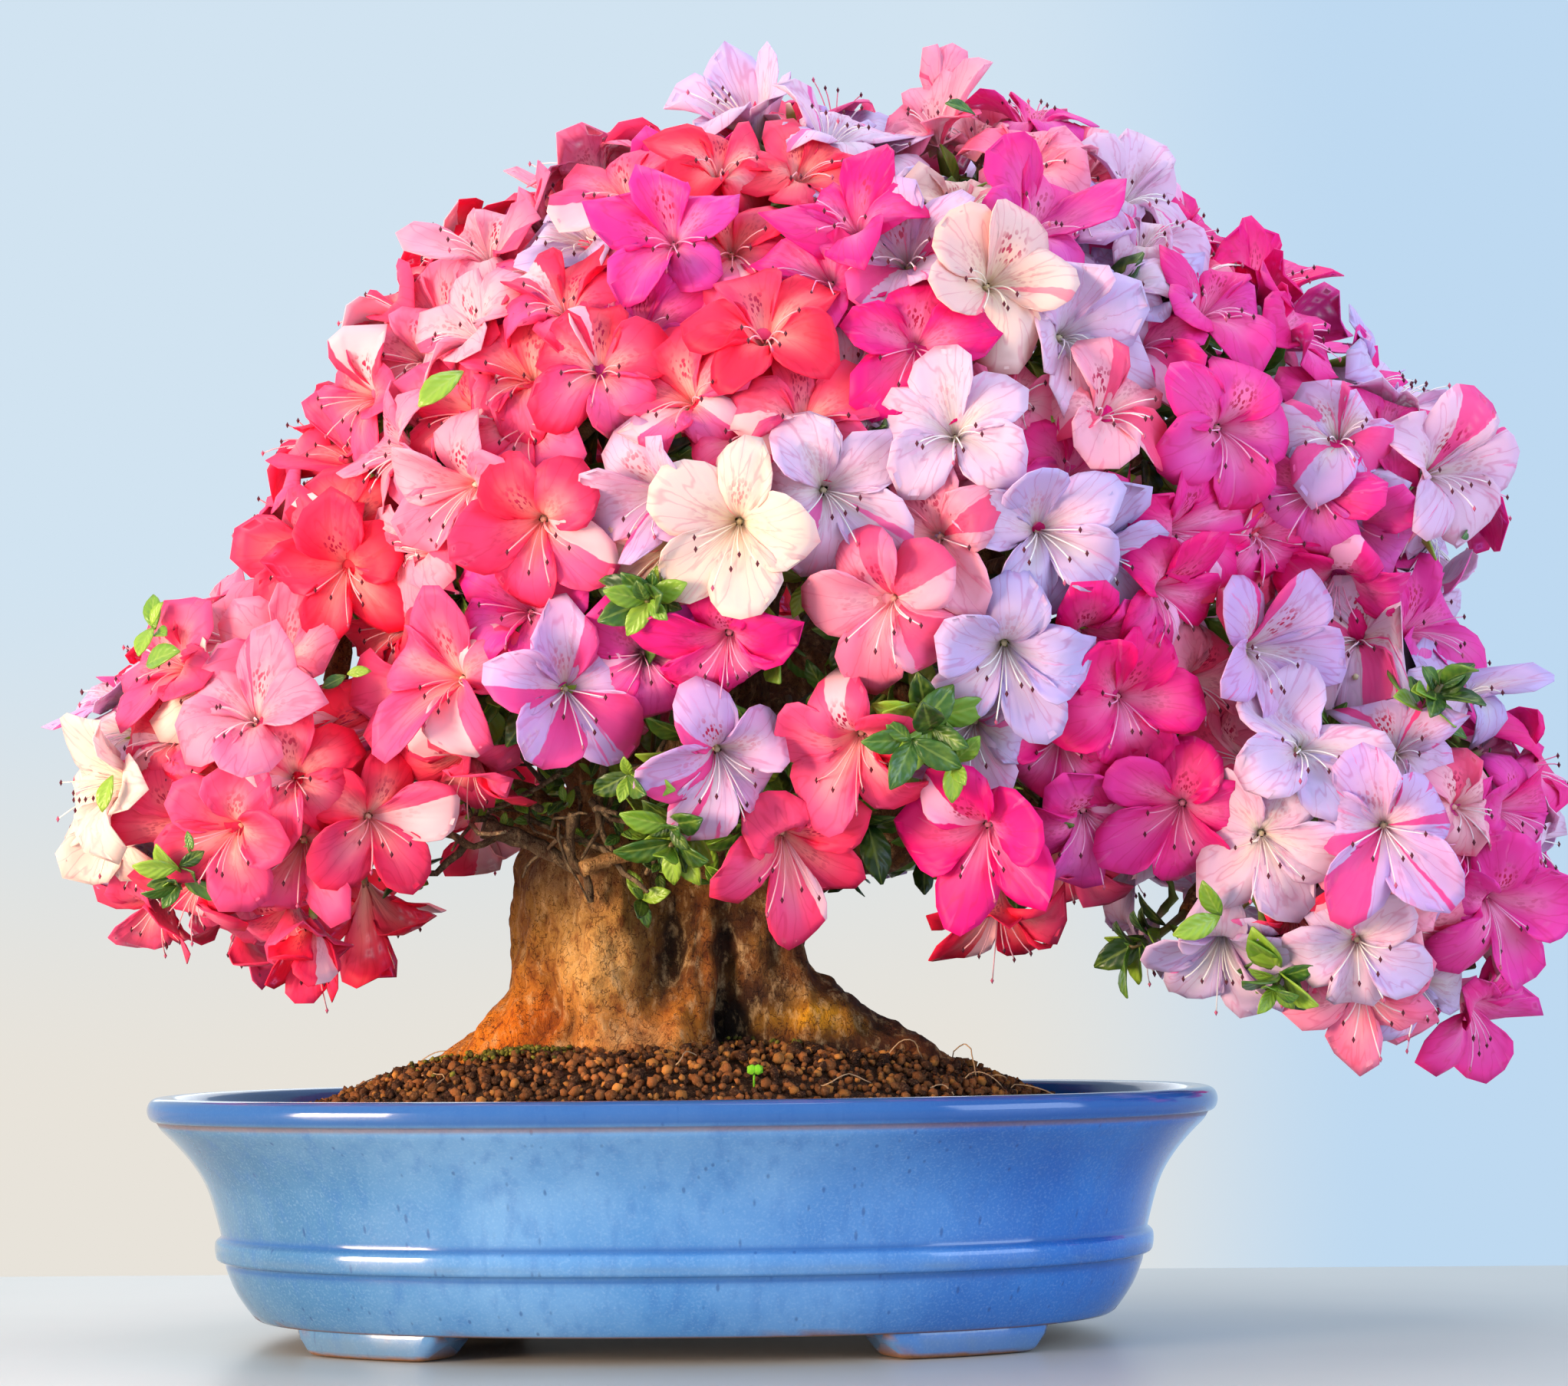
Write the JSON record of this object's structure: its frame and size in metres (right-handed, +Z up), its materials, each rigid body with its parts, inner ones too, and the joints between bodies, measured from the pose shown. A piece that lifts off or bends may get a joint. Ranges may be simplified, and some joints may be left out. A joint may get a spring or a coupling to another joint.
{
  "type": "satsuki azalea bonsai",
  "caption": "Flowering satsuki azalea bonsai with a thick fluted trunk and a rounded canopy of many-coloured blooms, in an oval glazed pot on feet.",
  "frame": {"origin": "on the table under the middle of the whole model's box", "axes": "+X along the pot's length to the right seen from the front, +Y to the back, +Z up"},
  "size_m": [0.571, 0.3566, 0.4756],
  "materials": {
    "glaze": "glossy blue stoneware glaze",
    "soil": "baked clay granules with moss",
    "bark": "thin peeling azalea bark",
    "screen_plastic": "moulded plastic mesh",
    "wire": "annealed wire",
    "leaf": "small slightly glossy leaves",
    "petal_coral": "soft coral petals",
    "petal_magenta": "soft magenta petals",
    "petal_pale_pink": "soft pale pink petals",
    "petal_white": "soft white petals, some striped"
  },
  "bodies": {
    "root": {"pot": "glaze", "soil": "soil", "drainage_screen_left": "screen_plastic", "drainage_wire_left": "wire", "drainage_screen_right": "screen_plastic", "drainage_wire_right": "wire", "trunk": "bark", "bloom_bunch_01": "petal_coral", "bloom_bunch_02": "petal_coral", "bloom_bunch_03": "petal_white", "bloom_bunch_04": "petal_coral", "bloom_bunch_05": "petal_pale_pink", "bloom_bunch_06": "petal_white", "bloom_bunch_07": "petal_magenta", "bloom_bunch_08": "petal_coral", "bloom_bunch_09": "petal_coral", "bloom_bunch_10": "petal_pale_pink", "bloom_bunch_11": "petal_magenta", "bloom_bunch_12": "petal_magenta", "bloom_bunch_13": "petal_coral", "bloom_bunch_14": "petal_magenta", "bloom_bunch_15": "petal_coral", "bloom_bunch_16": "petal_coral", "bloom_bunch_17": "petal_coral", "bloom_bunch_18": "petal_magenta", "bloom_bunch_19": "petal_coral", "bloom_bunch_20": "petal_white", "bloom_bunch_21": "petal_magenta", "bloom_bunch_22": "petal_coral", "bloom_bunch_23": "petal_coral", "bloom_bunch_24": "petal_coral", "bloom_bunch_25": "petal_coral", "bloom_bunch_26": "petal_magenta", "bloom_bunch_27": "petal_magenta", "bloom_bunch_28": "petal_white", "bloom_bunch_29": "petal_coral", "bloom_bunch_30": "petal_coral", "bloom_bunch_31": "petal_coral", "bloom_bunch_32": "petal_magenta", "leafy_spray_01": "leaf", "leafy_spray_02": "leaf", "leafy_spray_03": "leaf", "leafy_spray_04": "leaf", "leafy_spray_05": "leaf", "leafy_spray_06": "leaf", "leafy_spray_07": "leaf", "leafy_spray_08": "leaf", "leafy_spray_09": "leaf"}
  },
  "joints": []
}
